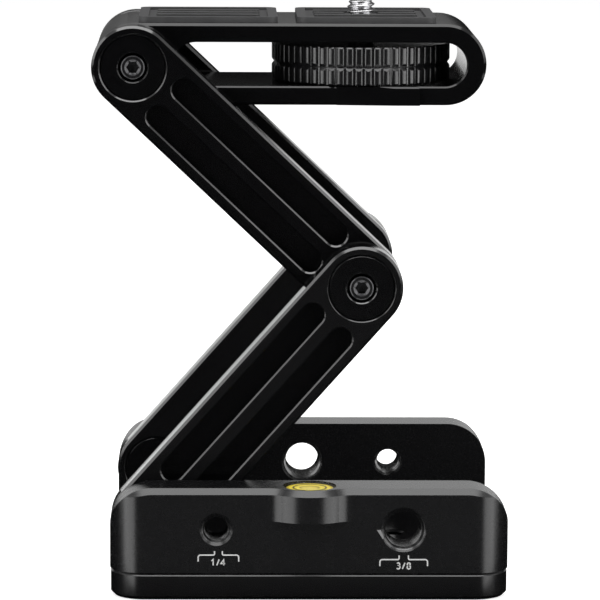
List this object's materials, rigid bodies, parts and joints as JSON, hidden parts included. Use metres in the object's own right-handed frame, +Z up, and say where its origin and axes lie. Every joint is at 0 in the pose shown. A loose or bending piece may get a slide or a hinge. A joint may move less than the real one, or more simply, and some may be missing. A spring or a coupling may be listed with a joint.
{
  "type": "tilt head",
  "caption": "Z-folding tilt head: base with threaded sockets and a bubble level, nested friction-pivot arms, and a slotted, padded platform with a knurled knob on its camera screw.",
  "frame": {"origin": "middle of the base's underside, at the mouth of the large tripod socket", "axes": "+Z up, away from the foot; +X to the side of the middle pivot and the platform's free end; +Y to the rear wall, so the bubble level faces -Y"},
  "size_m": [0.0945, 0.0994, 0.1316],
  "materials": {
    "black_anodised": "fine bead-blasted black anodising with brighter machined chamfers",
    "cap_metal": "satin black anodising",
    "black_steel": "black oxide",
    "bright_steel": "bright turned",
    "friction_washer": "plain",
    "pad_rubber": "matt moulded",
    "level_cup": "moulded",
    "level_fluid": "clear yellow liquid",
    "white_print": "screen print",
    "level_lens": "clear moulded acrylic"
  },
  "bodies": {
    "base": {"base_plate": "black_anodised", "front_wall": "black_anodised", "rear_wall": "black_anodised", "base_screws": "black_steel", "level_cup": "level_cup", "level_fluid": "level_fluid", "level_lens": "level_lens", "base_cap_front": "cap_metal", "base_cap_rear": "cap_metal", "base_pivot_screw_front": "black_steel", "base_pivot_screw_rear": "black_steel", "base_washer_front": "friction_washer", "base_washer_rear": "friction_washer"},
    "lower_arm": {"lower_arm_front": "black_anodised", "lower_arm_rear": "black_anodised"},
    "upper_arm": {"upper_arm_front": "black_anodised", "upper_arm_rear": "black_anodised", "middle_cap_front": "cap_metal", "middle_cap_rear": "cap_metal", "middle_pivot_screw_front": "black_steel", "middle_pivot_screw_rear": "black_steel", "middle_washer_front": "friction_washer", "middle_washer_rear": "friction_washer"},
    "platform": {"platform": "black_anodised", "left_pad": "pad_rubber", "right_pad": "pad_rubber", "top_cap_front": "cap_metal", "top_cap_rear": "cap_metal", "top_pivot_screw_front": "black_steel", "top_pivot_screw_rear": "black_steel", "top_washer_front": "friction_washer", "top_washer_rear": "friction_washer"},
    "knob": {"knob": "black_anodised", "camera_screw": "bright_steel"}
  },
  "joints": [
    {"name": "base_pivot", "type": "hinge", "parent": "base", "child": "lower_arm", "pos_m": [-0.0356, 0, 0.01595], "axis": [0, 1, 0], "range_deg": [-31.6, 48.4]},
    {"name": "middle_pivot", "type": "hinge", "parent": "lower_arm", "child": "upper_arm", "pos_m": [0.01167, 0, 0.06919], "axis": [0, 1, 0], "range_deg": [-91.8, 68.2]},
    {"name": "top_pivot", "type": "hinge", "parent": "upper_arm", "child": "platform", "pos_m": [-0.04006, 0, 0.11811], "axis": [0, 1, 0], "range_deg": [-36.6, 43.4]},
    {"name": "knob_turn", "type": "hinge", "parent": "platform", "child": "knob", "pos_m": [0.01231, 0, 0.11811], "axis": [0, 0, 1], "continuous": true}
  ]
}
